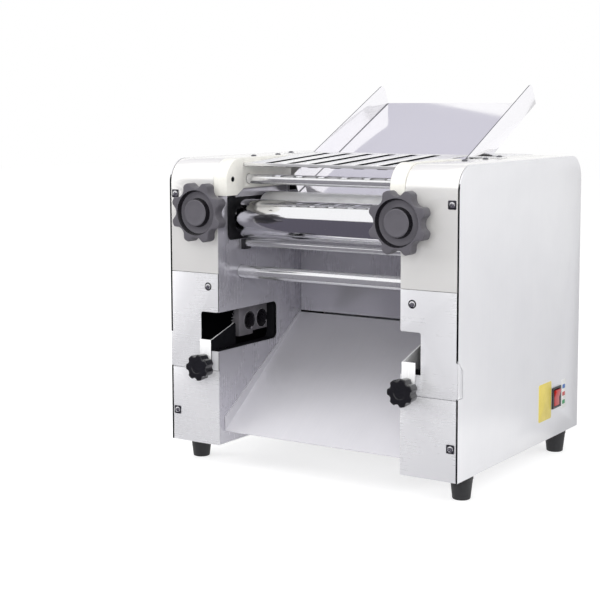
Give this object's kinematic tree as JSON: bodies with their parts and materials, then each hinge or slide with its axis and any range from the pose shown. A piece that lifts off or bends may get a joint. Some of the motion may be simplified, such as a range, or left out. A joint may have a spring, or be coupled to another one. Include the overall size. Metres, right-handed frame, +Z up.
{
  "type": "noodle machine",
  "caption": "Bench noodle machine: paired driven rollers in a folded steel casing, feed tray behind, discharge chute in front and side slots with drive sockets for a drop-in cutter.",
  "frame": {"origin": "on the floor, under the middle of the whole machine", "axes": "+Z up, +Y from the discharge side to the feed side, +X towards the switch side"},
  "size_m": [0.4046, 0.4216, 0.47],
  "materials": {
    "side_panel": "satin pale grey paint",
    "top_cover": "satin ivory paint",
    "stainless": "brushed stainless sheet",
    "mirror_stainless": "bright stainless sheet",
    "polished_steel": "ground and polished steel",
    "cast_frame": "machined casting",
    "block_metal": "machined casting",
    "dark_steel": "dark oiled steel",
    "gear_steel": "machined steel, oiled",
    "knob_grey": "dark grey moulded plastic",
    "knob_black": "black glossy moulded plastic",
    "roller_cover": "cream moulded plastic",
    "foot_rubber": "black rubber",
    "belt_rubber": "black V-belt",
    "motor_paint": "painted casting",
    "switch_black": "black moulded plastic",
    "switch_red": "red moulded plastic",
    "screw_steel": "zinc plated steel"
  },
  "bodies": {
    "root": {"back_panel": "side_panel", "back_shield": "stainless", "base_pan": "stainless", "cable_gland": "switch_black", "countershaft_axle": "gear_steel", "cutter_bearing_plate": "cast_frame", "cutter_idler_axle": "gear_steel", "discharge_chute": "stainless", "drive_belt": "belt_rubber", "feed_tray": "mirror_stainless", "feet": "foot_rubber", "front_scraper": "dark_steel", "guard_grille": "stainless", "idler_axle": "gear_steel", "left_frame_plate": "cast_frame", "left_front_plate": "stainless", "left_liner": "stainless", "left_rear_block": "block_metal", "left_roller_cover": "roller_cover", "left_side_panel": "side_panel", "left_top_cover": "top_cover", "lower_tie_rod": "polished_steel", "motor_housing": "motor_paint", "panel_screws": "screw_steel", "rear_scraper": "dark_steel", "right_frame_plate": "cast_frame", "right_front_plate": "stainless", "right_liner": "stainless", "right_rear_block": "block_metal", "right_roller_cover": "roller_cover", "right_side_panel": "side_panel", "right_top_cover": "top_cover", "switch_bezel": "switch_black", "tray_brackets": "stainless", "upper_tie_rod": "polished_steel"},
    "carriage": {"left_front_block": "block_metal", "right_front_block": "block_metal"},
    "front_roller": {"front_roller": "polished_steel", "front_roller_gear": "gear_steel"},
    "rear_roller": {"rear_roller": "polished_steel", "rear_roller_gear": "gear_steel", "rear_drive_gear": "gear_steel", "roller_left_gear": "gear_steel"},
    "idler": {"idler_gear": "gear_steel"},
    "countershaft": {"countershaft_pinion": "gear_steel", "large_pulley": "cast_frame"},
    "motor_rotor": {"motor_shaft": "gear_steel", "motor_pulley": "cast_frame"},
    "cutter_idler": {"cutter_idler_gear": "gear_steel"},
    "cutter_rear": {"rear_cutter_coupling": "gear_steel", "cutter_drive_gear": "gear_steel"},
    "cutter_front": {"front_cutter_coupling": "gear_steel"},
    "left_adjuster": {"left_adjust_knob": "knob_grey"},
    "right_adjuster": {"right_adjust_knob": "knob_grey"},
    "left_clamp": {"left_clamp_bracket": "stainless"},
    "right_clamp": {"right_clamp_bracket": "stainless"},
    "left_clamp_screw": {"left_clamp_knob": "knob_black"},
    "right_clamp_screw": {"right_clamp_knob": "knob_black"},
    "rocker": {"switch_rocker": "switch_red"}
  },
  "joints": [
    {"name": "rear_roller_spin", "type": "hinge", "parent": "root", "child": "rear_roller", "pos_m": [0, -0.07983, 0.313], "axis": [1, 0, 0], "continuous": true},
    {"name": "front_roller_spin", "type": "hinge", "parent": "carriage", "child": "front_roller", "pos_m": [0, -0.12883, 0.306], "axis": [1, 0, 0], "continuous": true},
    {"name": "idler_spin", "type": "hinge", "parent": "root", "child": "idler", "pos_m": [0, 0.00993, 0.29062], "axis": [1, 0, 0], "continuous": true},
    {"name": "countershaft_spin", "type": "hinge", "parent": "root", "child": "countershaft", "pos_m": [0, 0.04893, 0.22307], "axis": [1, 0, 0], "continuous": true},
    {"name": "motor_spin", "type": "hinge", "parent": "root", "child": "motor_rotor", "pos_m": [0, 0.08817, 0.094], "axis": [1, 0, 0], "continuous": true},
    {"name": "cutter_idler_spin", "type": "hinge", "parent": "root", "child": "cutter_idler", "pos_m": [0, -0.06256, 0.23899], "axis": [1, 0, 0], "continuous": true},
    {"name": "cutter_rear_spin", "type": "hinge", "parent": "root", "child": "cutter_rear", "pos_m": [0, -0.06383, 0.171], "axis": [1, 0, 0], "continuous": true},
    {"name": "cutter_front_spin", "type": "hinge", "parent": "root", "child": "cutter_front", "pos_m": [0, -0.09083, 0.171], "axis": [1, 0, 0], "continuous": true},
    {"name": "roller_gap_slide", "type": "slide", "parent": "root", "child": "carriage", "axis": [0, 1, 0], "range_m": [-0.005, 0]},
    {"name": "left_adjuster_turn", "type": "hinge", "parent": "root", "child": "left_adjuster", "pos_m": [-0.1379, -0.17983, 0.317], "axis": [0, 1, 0], "range_deg": [-1200.5, 0.5]},
    {"name": "right_adjuster_turn", "type": "hinge", "parent": "root", "child": "right_adjuster", "pos_m": [0.1379, -0.17983, 0.317], "axis": [0, 1, 0], "range_deg": [-1200.5, 0.5]},
    {"name": "left_clamp_slide", "type": "slide", "parent": "root", "child": "left_clamp", "axis": [0, 1, 0], "range_m": [-0.008, 0]},
    {"name": "left_clamp_turn", "type": "hinge", "parent": "left_clamp", "child": "left_clamp_screw", "pos_m": [-0.141, -0.17983, 0.128], "axis": [0, 1, 0], "range_deg": [-2880.5, 0.5]},
    {"name": "right_clamp_slide", "type": "slide", "parent": "root", "child": "right_clamp", "axis": [0, 1, 0], "range_m": [-0.008, 0]},
    {"name": "right_clamp_turn", "type": "hinge", "parent": "right_clamp", "child": "right_clamp_screw", "pos_m": [0.141, -0.17983, 0.128], "axis": [0, 1, 0], "range_deg": [-2880.5, 0.5]},
    {"name": "switch_rock", "type": "hinge", "parent": "root", "child": "rocker", "pos_m": [0.2, 0.09167, 0.0775], "axis": [0, 1, 0], "range_deg": [-16, 0]}
  ],
  "couplings": [
    {"joint": "front_roller_spin", "follows": "rear_roller_spin", "ratio": -1},
    {"joint": "idler_spin", "follows": "rear_roller_spin", "ratio": -1.4667},
    {"joint": "countershaft_spin", "follows": "rear_roller_spin", "ratio": 4.8889},
    {"joint": "motor_spin", "follows": "rear_roller_spin", "ratio": 14.178},
    {"joint": "cutter_idler_spin", "follows": "rear_roller_spin", "ratio": -0.65217},
    {"joint": "cutter_rear_spin", "follows": "rear_roller_spin", "ratio": 1.3636},
    {"joint": "cutter_front_spin", "follows": "rear_roller_spin", "ratio": -1.3636},
    {"joint": "left_adjuster_turn", "follows": "roller_gap_slide", "rad_per_m": 4188.8},
    {"joint": "right_adjuster_turn", "follows": "roller_gap_slide", "rad_per_m": 4188.8},
    {"joint": "left_clamp_turn", "follows": "left_clamp_slide", "rad_per_m": 6283.2},
    {"joint": "right_clamp_turn", "follows": "right_clamp_slide", "rad_per_m": 6283.2}
  ]
}
